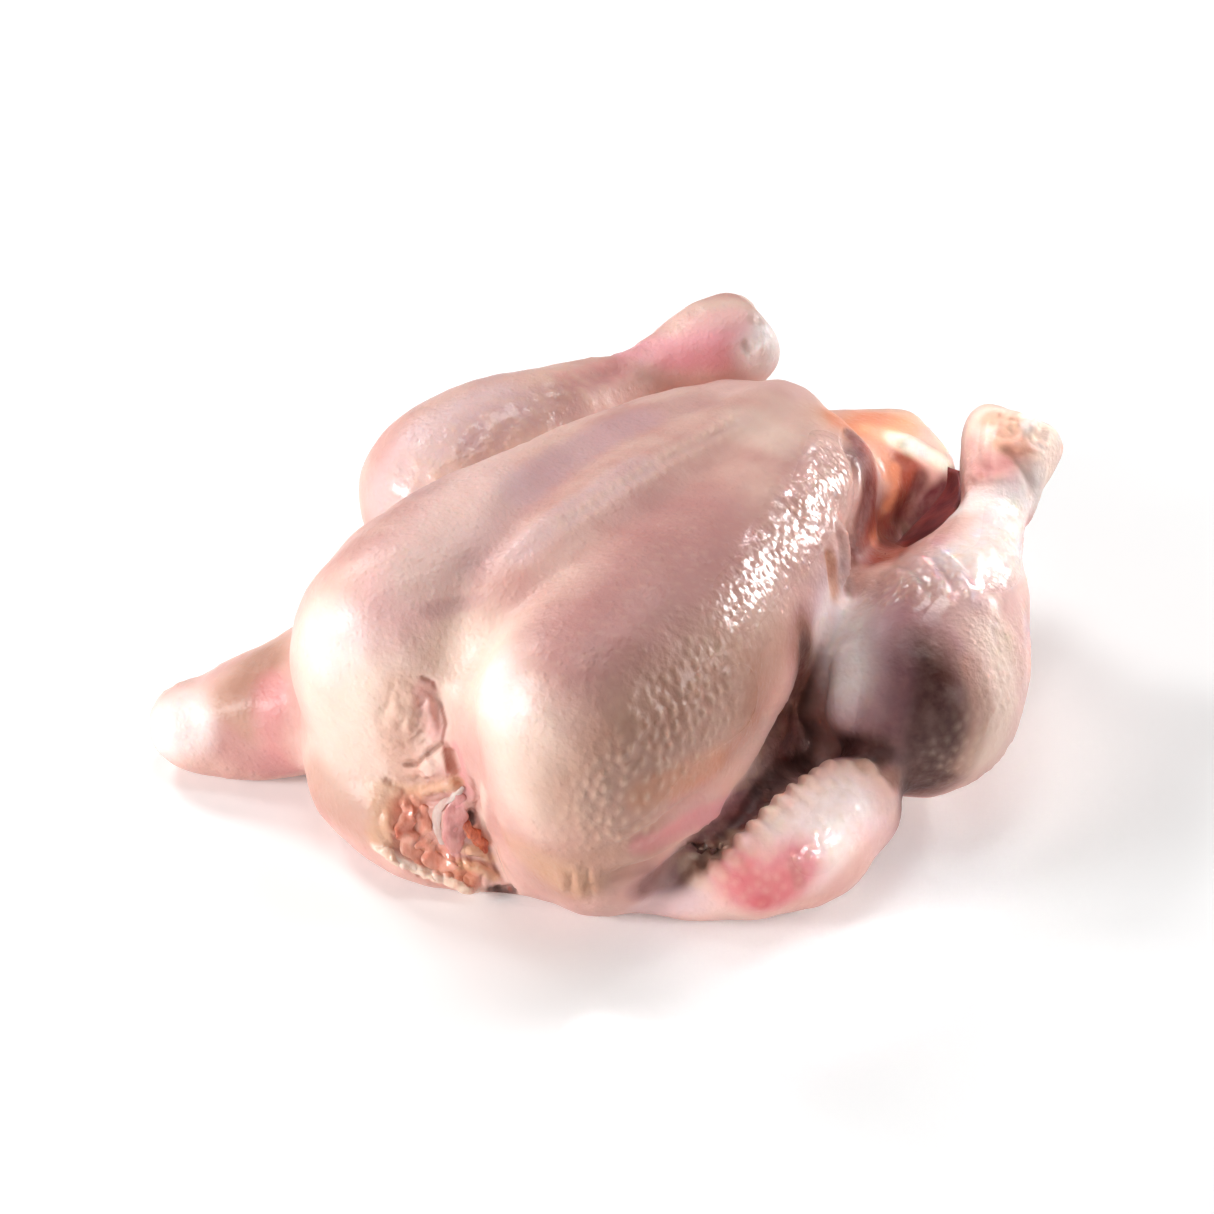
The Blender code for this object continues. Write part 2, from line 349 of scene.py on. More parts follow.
# %% Creases and folds
FLAP_EDGE = [(433, 684), (437, 696), (443, 712), (446, 724), (442, 742)]
FLAP_FOLD = [(442, 743), (436, 748), (429, 753), (423, 758), (418, 763), (411, 765), (405, 765)]
SIDE_TEAR = [(384, 780), (394, 783)]
NECK_GAP = [(492, 889), (504, 892), (514, 890)]
KEEL_HOLLOW = [(481, 563), (539, 483), (615, 429), (695, 404)]
VENT_CORD = [(896, 470), (888, 505), (872, 542)]
LOBE_EDGE = [(472, 778), (475, 798), (477, 818), (485, 842), (495, 868), (510, 890)]
NECK_STROKES = [
    (4.5, -2, *FLAP_EDGE),
    (3.6, -2.2, (447, 748), (452, 762), (456, 776)),
    (3.4, -2, (456, 776), (462, 790), (467, 804)),
    (11, -2.6, (408, 815), (425, 845), (455, 862)),
    (4, -2, *LOBE_EDGE),
    (5, 1.4, (484, 770), (488, 795), (494, 825), (504, 850), (518, 878)),
    (3, -2.4, *NECK_GAP),
    (5, 1.5, (434, 758), (427, 767), (424, 773)),
    (2.8, 1.8, (416, 795), (430, 788), (446, 784), (460, 783)),
    (2.8, 1.2, (412, 804), (405, 825), (408, 846)),
    (2.8, 1.2, (424, 808), (420, 832), (430, 858)),
    (3.2, 1.3, (455, 800), (452, 822), (450, 850)),
    (2.2, 1.5, (466, 850), (478, 851), (490, 857)),
    (2.4, 1.7, (462, 864), (478, 867), (494, 874)),
    (3, 1.3, (372, 845), (392, 855), (425, 871), (450, 881), (480, 891)),
    (2, 1, (384, 851)),
    (1.8, -1.2, (392, 861)),
    (2, 1, (404, 866)),
    (1.6, -0.8, (420, 875)),
    (2.2, 1, (436, 877)),
    (1.8, -0.8, (466, 890)),
    (3, 1.2, (393, 808), (389, 825), (398, 840)),
    (2.6, 0.7, (413, 690), (409, 712), (405, 738)),
    (2.4, 0.8, (428, 694), (430, 715), (434, 735)),
    (2.6, 0.5, (398, 700), (391, 730)),
    (1.5, -1.3, (433, 683), *FLAP_EDGE[1:]),
    (1.3, -0.8, (421, 677), (434, 682)),
    (1.6, -1.2, *FLAP_FOLD),
    (1.5, -0.6, (410, 777), (426, 779), (444, 777)),
    (1.6, -1, (418, 805), (438, 802), (454, 794)),
    (1.3, -0.5, (376, 716), (388, 706), (394, 683)),
    (1.3, -0.5, (401, 732), (405, 720), (409, 705)),
    (1.3, -0.6, (411, 743), (418, 738), (425, 729)),
    (1.2, -0.5, (417, 706), (428, 700)),
    (1.8, -0.6, *SIDE_TEAR),
    (2.2, -4, (471, 812), (472, 824)),
    (1.4, -0.9, (466, 858), (480, 859), (490, 865)),
    (1.8, -2.2, *LOBE_EDGE),
]
BREAST_STROKES = [
    (5, 0.9, (468, 585), (530, 535), (600, 485), (679, 440), (743, 412)),
    (9, -1.2, *KEEL_HOLLOW),
    (3, -0.5, (430, 611), (477, 600)),
    (2.5, 1, (560, 868), (566, 892)),
    (2.5, 1.2, (576, 864), (582, 896)),
    (2.5, 1, (592, 866), (596, 895)),
    (1.8, -0.8, (569, 866), (573, 896)),
    (1.8, -0.8, (586, 866), (590, 896)),
    (3.4, -2.6, (600, 880), (640, 868), (690, 842), (735, 808)),
    (3.4, 2.4, (620, 860), (680, 832), (738, 796)),
    (2.8, -1.4, (600, 850), (665, 818), (722, 784)),
    (3.5, 2.5, (838, 520), (842, 555), (843, 590)),
    (3.5, -1.5, (826, 545), (832, 590)),
    (4.5, -3, (850, 520), (853, 560), (850, 600)),
    (6, -3.5, (800, 620), (790, 700), (764, 766), (725, 822), (680, 862), (650, 880)),
    (6, -4, (862, 752), (822, 756), (790, 770), (756, 802), (722, 836), (688, 866), (655, 884)),
    (8, 3.5, (852, 640), (842, 690), (838, 735)),
    (8, -4, (815, 735), (800, 765), (775, 790)),
    (6, -3, (790, 745), (762, 785), (728, 826), (695, 858)),
]
LEG_STROKES = [
    (3.4, 0.6, (886, 566), (905, 578), (922, 600)),
    (3.2, 0.8, (908, 556), (928, 570), (944, 596)),
    (3, 0.8, (932, 548), (950, 562), (966, 590)),
    (3, 0.7, (955, 540), (970, 556), (984, 582)),
    (3, 0.6, (975, 532), (988, 548), (1000, 572)),
    (2.4, -0.5, (898, 562), (918, 576), (932, 600)),
    (2.4, -0.6, (920, 552), (940, 566), (955, 592)),
    (2.4, -0.5, (944, 544), (960, 558), (975, 585)),
    (3, 0.7, (856, 580), (874, 570), (890, 562)),
    (3, 0.6, (965, 500), (985, 492), (1010, 490)),
    (3, 1.3, (956, 492), (968, 484), (980, 479), (996, 480), (1016, 474)),
    (3, -1.2, (960, 480), (985, 470), (1012, 466)),
    (3, -1.8, (1000, 447), (1018, 462), (1034, 492)),
    (3, -2.6, (1018, 406), (1019, 420)),
    (3, -2.4, (1042, 420), (1038, 440)),
    (4, 1, (1006, 404), (994, 410)),
    (1.8, -0.6, (992, 424)),
    (1.8, -0.7, (1011, 427)),
    (1.8, -0.5, (1001, 439)),
    (3.2, 1.8, (1029, 424)),
    (4, 1.4, (1052, 438), (1056, 470)),
    (3.5, 0.8, (985, 440), (990, 470)),
    (3, -0.8, (700, 305), (692, 318)),
    (2.2, -0.6, (744, 342), (750, 352)),
    (2.5, -0.5, (755, 316), (762, 326)),
    (4, 1, (758, 345), (766, 350)),
    (5, -1.5, (560, 385), (600, 374), (640, 366)),
]
VENT_STROKES = [
    (3.6, 1.8, (893, 437), (912, 444), (930, 455), (946, 468)),
    (5, 0.8, *VENT_CORD),
    (8, -2.5, (932, 482), (915, 508), (900, 536)),
    (6, -1.2, (872, 480), (864, 510), (856, 545)),
    (4, -1.2, (848, 434), (858, 440), (852, 452)),
    (3, -2, (834, 412), (848, 440), (855, 470), (857, 500), (852, 540)),
]
strokes = NECK_STROKES + BREAST_STROKES + LEG_STROKES + VENT_STROKES
print("strokes that show", len(strokes))

# %% [markdown]
# ## Pressing the strokes in
# The brush moves each point near a line along its own normal, so a stroke works on any side. The
# hidden sides have strokes of their own, where such a bird usually folds.

# %% Pressing the strokes in
def press(mesh, line, reach, height):
    """Moves the skin near a line along its normals: out if the height is positive, in if negative."""
    points = read_rows(mesh)
    near = nearness(points, line, reach * MM, taper=True)
    write_rows(mesh, points + read_rows(mesh, "normal") * (near * height * MM)[:, None])


HIDDEN_STROKES = [
    (5, -2.4, (-46, 122, 88), (-40, 124, 75), (-38, 118, 60)),
    (3.5, 1.2, (-66, 104, 66), (-56, 92, 54), (-42, 88, 58)),
    (3.5, -1, (-66, 100, 60), (-54, 86, 50)),
    (5, -2.2, (54, 122, 82), (50, 124, 72), (46, 118, 62)),
    (3.5, 1.2, (70, 96, 66), (66, 88, 54), (52, 84, 48)),
    (4, -0.8, (-104, 4, 52), (-104, 14, 40), (-96, 20, 28)),
    (4, 0.8, (-102, -6, 52), (-104, 4, 40), (-98, 10, 26)),
    (7, -2, (-62, 60, 34), (-56, 72, 24), (-40, 80, 14)),
    (7, -2, (62, 64, 28), (52, 78, 20), (36, 86, 12)),
    (8, -1, (-70, -40, 70), (-74, -10, 56), (-70, 14, 44)),
    (6, -1.5, (-24, 78, 6), (0, 84, 4), (24, 80, 6)),
    (6, -1.6, (-76, -54, 24), (-76, -40, 20), (-72, -24, 20)),
    (4, -1.2, (3, 108, 28), (4, 104, 14)),
]
for rows, line_through in ((strokes, seen_line), (HIDDEN_STROKES, real_line)):
    for reach, height, *places in rows:
        press(skin_mesh, line_through(places), reach, height)
print("strokes on the hidden sides", len(HIDDEN_STROKES))

# %% [markdown]
# ## Crumpled places
# Loose skin at the neck and torn tissue crumple: soft lumps with sharp valleys between them. Noise
# gives that when its sign is dropped, since the sharp turn where it crosses nothing becomes a valley.
# Each place has its own reach, size of crumple and height, in millimetres, before its pixels.

# %% Crumpled places
CRUMPLES = [
    (8, 4, 0.36, (405, 690), (395, 740)),
    (5, 3, 0.5, (424, 700), (428, 740)),
    (7, 3.6, 0.6, (405, 790), (440, 780)),
    (9, 3.6, 1, (410, 825), (430, 850), (470, 875)),
    (4, 2.6, 0.6, (385, 850), (440, 876), (480, 890)),
    (6, 4, 0.6, (745, 893), (810, 850)),
    (9, 4.5, 1, (1000, 420), (1030, 440)),
    (9, 5, 0.7, (885, 575), (960, 555)),
]


def crumple(mesh, line, reach, size, height):
    """Raises the skin near a line into lumps of the size, with sharp valleys where noise crosses zero."""
    points = read_rows(mesh)
    normals = read_rows(mesh, "normal")
    near = nearness(points, line, reach * MM)
    for i in np.flatnonzero(near > 0):
        fold = abs(noise.noise(Vector(points[i]) / (size * MM)))
        points[i] += normals[i] * near[i] * height * MM * (2 * fold - 0.5)
    write_rows(mesh, points)


for reach, size, height, *pixels in CRUMPLES:
    crumple(skin_mesh, seen_line(pixels), reach, size, height)
print("crumpled places", len(CRUMPLES))

# %% [markdown]
# ## Lumps under the skin
# Fat and muscle under the skin make it gently uneven. Soft noise lifts and lowers it by parts of a
# millimetre, at the size of a fingertip and of a lentil, so no part of the bird looks turned or cast.

# %% Lumps
LUMPS = ((16, 0.8), (6, 0.28))


def lumped(mesh, lumps):
    """Moves each point along its normal by noise of each given size and height in millimetres."""
    points = read_rows(mesh)
    lift = np.zeros(len(points))
    for size, height in lumps:
        scale = 1 / (size * MM)
        lift += height * MM * np.array([noise.noise(Vector(p) * scale) for p in points])
    write_rows(mesh, points + read_rows(mesh, "normal") * lift[:, None])


lumped(skin_mesh, LUMPS)
print("lumps of", " and ".join(f"{size} mm" for size, _ in LUMPS))

# %% [markdown]
# ## Humps of skin
# Each plucked feather leaves a follicle, a small raised drop of skin that points the way the feather
# lay. Each is a smooth hump here, longer than it is wide, and where two meet the higher one counts, so
# they never add up to a ridge. A search tree of the points finds those near a hump quickly.

# %% Humps of skin
DOWN = np.array([0.1, -0.25, -1.0])
LEAN_SPREAD = 0.25
HUMP_REACH = 2.4
SAME_SIDE = 0.2
REGION_EDGE = 0.02
SPACINGS = (0.8, 1.25)
STRENGTHS = (0.6, 1.25)
ROW_SHAKE = 0.1
ROW_SIZES = (0.8, 1.2)


class Drops:
    """Collects the height of every goose bump, so that bumps that meet don't add up."""

    def __init__(self, mesh):
        self.points = read_rows(mesh)
        self.normals = read_rows(mesh, "normal")
        self.lift = np.zeros(len(self.points))
        self.finder = KDTree(len(self.points))
        for i, point in enumerate(self.points):
            self.finder.insert(point, i)
        self.finder.balance()

    def add(self, centre, normal, way, size):
        """One hump: its half length along the way, half width and height are in millimetres."""
        length, width, height = (s * MM for s in size)
        way = way - normal * (way @ normal)
        way /= max(np.linalg.norm(way), 1e-9)
        across = np.cross(normal, way)
        found = self.finder.find_range(centre, HUMP_REACH * max(length, width))
        near = np.array([i for _, i, _ in found], int)
        near = near[self.normals[near] @ normal > SAME_SIDE]
        offset = self.points[near] - centre
        hump = height * np.exp(-(((offset @ way) / length) ** 2) - ((offset @ across) / width) ** 2)
        self.lift[near] = np.maximum(self.lift[near], hump)

    def scatter(self, line, reach, spacing, size, seed):
        """Humps over the region round a line, about one spacing apart."""
        rng = np.random.default_rng(seed)
        weights = nearness(self.points, line, reach * MM)
        chosen = []
        for i in rng.permutation(np.flatnonzero(weights > REGION_EDGE)):
            gap = spacing * MM * rng.uniform(*SPACINGS)
            if chosen and np.min(np.sum((self.points[chosen] - self.points[i]) ** 2, axis=1)) < gap**2:
                continue
            chosen.append(i)
            strength = rng.uniform(*STRENGTHS) * weights[i] ** 0.5
            lean = DOWN + rng.normal(0, LEAN_SPREAD, 3)
            self.add(self.points[i], self.normals[i], lean, (size[0], size[1], size[2] * strength))
        return len(chosen)

    def row(self, pixels, toward, spacing, size, seed):
        """Humps side by side along a line of pixels, each pointing toward an offset in pixels."""
        rng = np.random.default_rng(seed)
        line = seen_line(pixels)
        walked = np.concatenate([[0], np.cumsum(np.linalg.norm(np.diff(line, axis=0), axis=1))])
        for place in np.arange(0, walked[-1], spacing * MM):
            centre = [
                np.interp(place + rng.normal(0, ROW_SHAKE) * MM, walked, line[:, k]) for k in range(3)
            ]
            near, normal, _, _ = tree.find_nearest(Vector(centre))
            u, v = pixels[int(np.searchsorted(walked, place)) // CURVE_STEPS]
            way = np.array(on_skin(u + toward[0], v + toward[1])[0] - on_skin(u, v)[0])
            size_here = [s * rng.uniform(*ROW_SIZES) for s in size]
            self.add(np.array(near), np.array(normal), way, size_here)

    def apply(self, mesh):
        """Raises the skin by the humps, none below the table, and tells how high each went in mm."""
        raised = self.points + self.normals * self.lift[:, None]
        raised[:, 2] = np.maximum(raised[:, 2], 0)
        write_rows(mesh, raised)
        return self.lift / MM


drops = Drops(skin_mesh)
print("points to raise", len(drops.points))

# %% [markdown]
# ## Goose bumps
# The humps stand in loose rows, largest on the breast's side and the wing. A seeded draw scatters them
# over each region with an even spacing. A row gives the region's line, its reach, the spacing and a
# hump's half length, half width and height in millimetres. Single rows of humps follow the wing's
# scalloped edge and the feather tract beside the keel.

# %% Goose bumps
BUMP_REGIONS = [
    ("breast_side", [(625, 800), (660, 750), (700, 690)], 20, 3.4, (1.5, 0.85, 0.75)),
    ("breast_front", [(590, 790), (560, 830)], 16, 3.8, (1.6, 1, 0.3)),
    ("breast_shoulder", [(730, 640), (780, 540), (825, 450)], 15, 2.7, (1.3, 0.85, 0.45)),
    ("breast_middle", [(560, 700), (640, 620), (700, 540)], 20, 3.2, (1, 0.7, 0.22)),
    ("right_wing", [(870, 800), (810, 840), (740, 880)], 14, 3.2, (1.3, 1.1, 0.35)),
    ("right_thigh", [(1015, 640), (1000, 700), (960, 760)], 13, 2.9, (1.5, 1.1, 0.5)),
    ("thigh_front", [(842, 620), (850, 700)], 12, 3.4, (1.6, 1.2, 0.35)),
    ("right_drumstick", [(880, 590), (930, 580), (985, 560), (1010, 520)], 13, 2.6, (1.6, 1, 0.6)),
    ("left_drumstick", [(420, 480), (500, 425), (580, 385)], 12, 4.4, (2.4, 1.9, 0.7)),
]
HIDDEN_BUMP_REGIONS = [
    ("left_side", [(-60, -50, 60), (-62, 10, 60)], 28, 4.2, (2.2, 1.5, 0.6)),
    ("left_thigh", [(-100, 6, 46), (-85, 40, 46), (-70, 70, 60)], 26, 4.2, (2.2, 1.6, 0.7)),
    ("left_hip", [(-84, 20, 20), (-60, 60, 20)], 22, 4.2, (2.2, 1.6, 0.6)),
    ("right_hip", [(90, 20, 20), (70, 50, 20), (50, 75, 25)], 26, 4.2, (2.2, 1.6, 0.7)),
    ("tail", [(3, 100, 20), (0, 75, 15)], 24, 4, (2, 1.6, 0.7)),
    ("left_wing", [(-95, -100, 14), (-75, -75, 20)], 20, 4.2, (2.2, 1.6, 0.5)),
]
SEED = 7
WING_EDGE = [(866, 768), (828, 769), (806, 780), (778, 804), (745, 831), (706, 864), (682, 880)]
KEEL_TRACT = [(560, 524), (600, 497), (660, 460), (700, 438), (740, 417)]
SCALLOPS_POINT = (14, 18)
TRACT_POINTS = (3, -10)
sides = ((SEED, BUMP_REGIONS, seen_line), (2 * SEED, HIDDEN_BUMP_REGIONS, real_line))
for first_seed, rows, line_through in sides:
    for number, (name, places, reach, spacing, size) in enumerate(rows):
        print(name, drops.scatter(line_through(places), reach, spacing, size, first_seed + number))
drops.row(WING_EDGE, SCALLOPS_POINT, 5.2, (3.2, 2.2, 2.2), SEED)
drops.row([(u + 12, v + 13) for u, v in WING_EDGE], SCALLOPS_POINT, 5.2, (2.6, 2.0, 0.7), SEED + 1)
drops.row(KEEL_TRACT, TRACT_POINTS, 4.2, (2.6, 1.1, 0.55), SEED + 2)
drops.row([(u + 7, v + 9) for u, v in KEEL_TRACT], TRACT_POINTS, 4.2, (2.2, 1.0, 0.35), SEED + 3)
drop_height = drops.apply(skin_mesh)
tree = skin_tree(skin_mesh)
print("highest bump", round(float(drop_height.max()), 2), "mm")

# %% [markdown]
# ## Colours laid on in strokes
# Raw skin is never one colour. It is mauve where it is thin over bone, rosy where blood lies under it,
# yellow over fat, and cream where it is stretched over meat. Each stroke lays one named colour along a
# line on the skin's points, softly at its edges and over what is there, as an airbrush would. Some strokes
# paint light and shade as well: painted shade in creases, hollows and gaps, the breast's painted shadow on
# the right thigh, and painted highlights and sheen on the lobes, wings, thigh, drumstick and the vent's
# lip. All of them lie in the skin itself, so they stay put whichever way the bird is lit.
# A row gives the colour, its reach in millimetres, its strength and its line.

# %% Painted colours
PALETTE = {
    "pearl": "FBECE8", "cream": "F5DCCB", "blush": "EFC7BF", "pink": "F2A6B0", "lilac": "DEC0C4",
    "rose": "DA868A", "red": "CC4A54", "dusk": "C58C88", "mauve": "B07A82", "plum": "8A525A",
    "maroon": "5E2426", "tan": "BC8E7A", "brown": "8E5A46", "dark": "4A2824", "fat": "DFAE86",
    "ember": "CE8052", "salmon": "D98A68", "flesh": "E4967E", "rust": "964230",
}
SEEN_PAINT = [
    ("cream", 28, 0.6, (320, 650), (335, 710), (350, 750)),
    # painted highlight: pearl on the left lobe's front
    ("pearl", 16, 0.6, (325, 645), (345, 640)),
    ("cream", 24, 0.75, (400, 690), (440, 660), (500, 690), (540, 780)),
    # painted highlight: pearl on the right lobe's front
    ("pearl", 13, 0.7, (495, 680), (505, 700)),
    ("blush", 20, 0.8, (400, 590), (440, 530), (490, 480)),
    ("cream", 16, 0.6, (420, 570), (470, 500)),
    ("blush", 14, 0.5, (480, 480), (540, 430), (600, 400)),
    ("blush", 14, 0.6, (735, 388), (780, 380), (812, 396)),
    ("pink", 20, 0.2, (385, 620), (420, 560), (460, 510)),
    ("lilac", 16, 0.6, (390, 500), (430, 440), (500, 400)),
    ("mauve", 12, 0.4, (420, 490), (480, 440), (560, 400)),
    ("dusk", 30, 0.8, (590, 640), (640, 610), (690, 520)),
    ("cream", 12, 0.45, (750, 420), (775, 440)),
    ("lilac", 10, 0.5, (520, 490), (580, 450), (640, 420)),
    # tan and brown skin on the breast's right side, partly painted shade where that side turns from the
    # light
    ("tan", 28, 0.85, (600, 800), (660, 730), (730, 680)),
    ("tan", 14, 0.6, (730, 740), (760, 690), (775, 640)),
    ("brown", 24, 0.42, (670, 760), (745, 700)),
    ("brown", 12, 0.3, (540, 880), (600, 870)),
    ("tan", 16, 0.75, (560, 870), (640, 850)),
    ("tan", 13, 0.6, (315, 785), (340, 808), (362, 824)),
    ("tan", 14, 0.9, (265, 660), (240, 690), (230, 730)),
    ("brown", 9, 0.35, (262, 665), (245, 690)),
    # mauve of thin skin in the hollow beside the keel, partly painted shade
    ("mauve", 11, 0.3, *KEEL_HOLLOW),
    ("lilac", 8, 0.4, (520, 550), (580, 505), (640, 465)),
    # painted shadow: the breast's cast shadow on the right thigh, over mauve skin, deepened by plum, brown
    # and dark towards its crisp right edge
    ("mauve", 32, 0.7, (875, 630), (890, 700), (880, 770)),
    ("plum", 22, 0.6, (905, 650), (915, 700), (912, 765)),
    ("brown", 22, 0.8, (910, 680), (925, 725), (920, 770)),
    ("dark", 20, 0.95, (908, 682), (926, 725), (918, 772)),
    ("dark", 15, 0.6, (905, 700), (915, 745)),
    # painted sheen: lilac and pearl where the wet thigh shines grey-white
    ("lilac", 19, 0.9, (832, 606), (848, 645), (842, 685)),
    ("pearl", 15, 0.85, (834, 612), (846, 640), (842, 668)),
    # mauve at the left edge of the painted shadow on the thigh
    ("mauve", 10, 0.4, (888, 620), (892, 680), (878, 745)),
    # painted light: cream on the thigh's lit right side, beyond the painted shadow
    ("cream", 12, 0.65, (998, 640), (1005, 700), (988, 750)),
    ("tan", 6, 0.6, (972, 665), (982, 710), (966, 765)),
    ("mauve", 4, 0.3, (430, 611), (477, 600)),
    ("pink", 10, 0.8, (630, 350), (680, 350), (735, 346)),
    ("rose", 6, 0.4, (670, 360), (735, 356)),
    ("cream", 12, 0.5, (680, 318), (735, 310)),
    ("rose", 8, 0.5, (570, 382), (620, 366)),
    ("plum", 6, 0.3, (560, 392), (600, 380)),
    ("rose", 9, 0.6, (272, 690), (280, 770)),
    ("dusk", 10, 0.7, (195, 775), (265, 765)),
    # painted highlight: pearl on the left wing's bright tip
    ("pearl", 14, 0.8, (165, 730), (185, 725)),
    ("blush", 18, 0.8, (700, 890), (780, 850), (850, 815), (875, 795)),
    # painted highlight: pearl on the right wing's lit top
    ("pearl", 14, 0.7, (800, 830), (850, 800)),
    ("pearl", 10, 0.7, (810, 870), (835, 840)),
    ("rose", 13, 0.95, (735, 872), (765, 890), (795, 868)),
    ("red", 9, 0.4, (745, 885), (765, 896), (788, 884)),
    ("red", 4, 0.5, (763, 903)),
    # painted shade: brown at the bruise's right edge and in the fold at the wing's top right
    ("brown", 3, 0.25, (794, 862), (800, 884)),
    ("brown", 5, 0.8, (864, 763), (880, 769), (893, 780)),
    ("lilac", 9, 0.6, (650, 905), (690, 895)),
    ("rose", 5, 0.6, (640, 845), (700, 818), (740, 800)),
    ("ember", 8, 0.4, (645, 795), (680, 780), (715, 762)),
    ("blush", 5, 0.3, (560, 522), (600, 499), (660, 462), (743, 416)),
    ("fat", 11, 0.35, (520, 850), (575, 885)),
    ("ember", 5, 0.7, (828, 560), (834, 590)),
    # painted shade: brown and dark on the breast's right edge, which turns away from the light
    ("brown", 13, 0.85, (800, 640), (792, 695), (772, 745)),
    ("dark", 10, 0.7, (800, 655), (793, 700), (778, 740)),
    # painted shade: dark and maroon in the deep gap between breast, thigh and wing
    ("dark", 9, 0.9, (800, 735), (762, 785), (728, 826), (690, 860)),
    ("dark", 8, 0.9, (765, 800), (800, 766), (850, 750), (880, 752)),
    ("maroon", 9, 0.7, (650, 882), (690, 862), (745, 810)),
    ("fat", 15, 0.4, (838, 420), (870, 420), (905, 426)),
    ("salmon", 8.5, 0.85, (838, 420), (870, 420), (905, 426)),
    ("fat", 6, 0.8, (870, 432), (893, 436)),
    ("rust", 11, 0.97, (866, 450), (870, 500), (864, 556)),
    ("maroon", 10, 0.7, (862, 462), (868, 500), (862, 548)),
    ("rust", 12, 0.95, (905, 470), (895, 510), (880, 555)),
    ("salmon", 3, 0.7, (896, 468), *VENT_CORD[1:]),
    ("maroon", 3, 0.6, (848, 434), (858, 440), (852, 454)),
    ("salmon", 6, 0.6, (866, 440), (880, 452), (884, 470)),
    # painted highlight: cream and pearl along the vent flap's lit lip
    ("cream", 4.6, 0.97, (893, 438), (912, 446), (930, 455), (950, 468)),
    ("pearl", 2.6, 0.9, (908, 444), (928, 454), (946, 466)),
    ("maroon", 9, 0.97, (952, 488), (936, 500), (910, 540)),
    ("maroon", 5, 0.7, (920, 478), (908, 505), (892, 540)),
    ("cream", 14, 0.85, (975, 440), (1000, 410), (1050, 445), (1045, 480)),
    # painted highlight: pearl where the wet drumstick shines
    ("pearl", 12, 0.9, (970, 505), (1005, 505), (1030, 495)),
    ("pearl", 15, 0.9, (965, 560), (990, 545), (1010, 530)),
    ("lilac", 12, 0.5, (925, 560), (960, 580)),
    ("rose", 8, 0.4, (968, 450), (985, 465), (1000, 462)),
    ("ember", 5.5, 0.5, (990, 418), (1012, 426), (1002, 442), (1025, 445)),
    # painted shade: brown in the crease below the hock
    ("brown", 3, 0.4, (1006, 450), (1030, 488)),
    ("pearl", 3, 0.9, (1028, 425)),
    ("pearl", 13, 1, (762, 350), (768, 340), (766, 352)),
    ("pink", 9, 0.4, (700, 326), (735, 322)),
    ("brown", 2.2, 0.35, (744, 343), (748, 349)),
    ("tan", 2.6, 0.35, (752, 320), (760, 322)),
    ("ember", 8, 0.25, (400, 690), (395, 730), (405, 770)),
    ("rose", 5, 0.4, (425, 690), (432, 730)),
    ("rose", 3.4, 0.5, (455, 748), (462, 768), (466, 790)),
    # painted shade: ember and rust in the hollow right of the flap of fat
    ("ember", 2.4, 0.5, (447, 752), (452, 768), (458, 784)),
    ("rust", 2.6, 0.6, (447, 747), (450, 761), (454, 775)),
    ("fat", 7, 0.5, (380, 795), (384, 815), (380, 838)),
    ("tan", 4, 0.2, (400, 705), (408, 720), (402, 745)),
    ("tan", 2.4, 0.5, (424, 715), (420, 740)),
    ("fat", 4, 0.5, (400, 790), (415, 800)),
    ("cream", 4, 0.45, (437, 757), (426, 770)),
    ("cream", 3.6, 0.5, (483, 790), (486, 825)),
    ("fat", 3.4, 0.6, (412, 792), (432, 789), (456, 784)),
    ("fat", 4, 0.5, (392, 808), (388, 826), (394, 838)),
    # painted shade: tan in the crease between the flap and the fold of fat
    ("tan", 2, 0.5, (410, 778), (426, 780), (442, 778)),
    ("flesh", 8, 1, (408, 812), (412, 835), (430, 858), (460, 876)),
    ("salmon", 4.5, 0.6, (415, 845), (440, 868), (470, 882)),
    ("rose", 4, 0.7, (456, 805), (455, 830), (455, 848)),
    ("rust", 2.4, 0.3, (399, 832), (397, 846)),
    ("salmon", 3.2, 0.9, (466, 828), (476, 834), (484, 842)),
    ("fat", 2.6, 0.7, (464, 849), (478, 852), (490, 858)),
    ("fat", 2.6, 0.7, (462, 865), (478, 868), (494, 876)),
    # painted shade: dark inside the small pressed hole
    ("dark", 1.8, 0.9, (471, 813), (472, 823)),
    # painted shade: rust and brown in the creases at the flap's edge and under it
    ("rust", 0.9, 0.6, (433, 683), (443, 712), (445, 726), (442, 742)),
    ("rust", 0.8, 0.4, (421, 677), (433, 682)),
    ("brown", 1.2, 0.7, *FLAP_FOLD),
    # painted shadow: dark in the narrow gap under the neck by the table
    ("dark", 2.6, 0.9, *NECK_GAP),
    # painted shade: rust in the crease right of the flap
    ("rust", 0.9, 0.6, (444, 748), (447, 762), (447, 776)),
    ("tan", 1.4, 0.5, *SIDE_TEAR),
    # painted shade: rust along the crease at the right lobe's edge
    ("rust", 1, 0.55, *LOBE_EDGE),
    ("cream", 2.4, 0.85, (374, 848), (392, 858), (425, 873), (450, 883), (480, 892)),
]
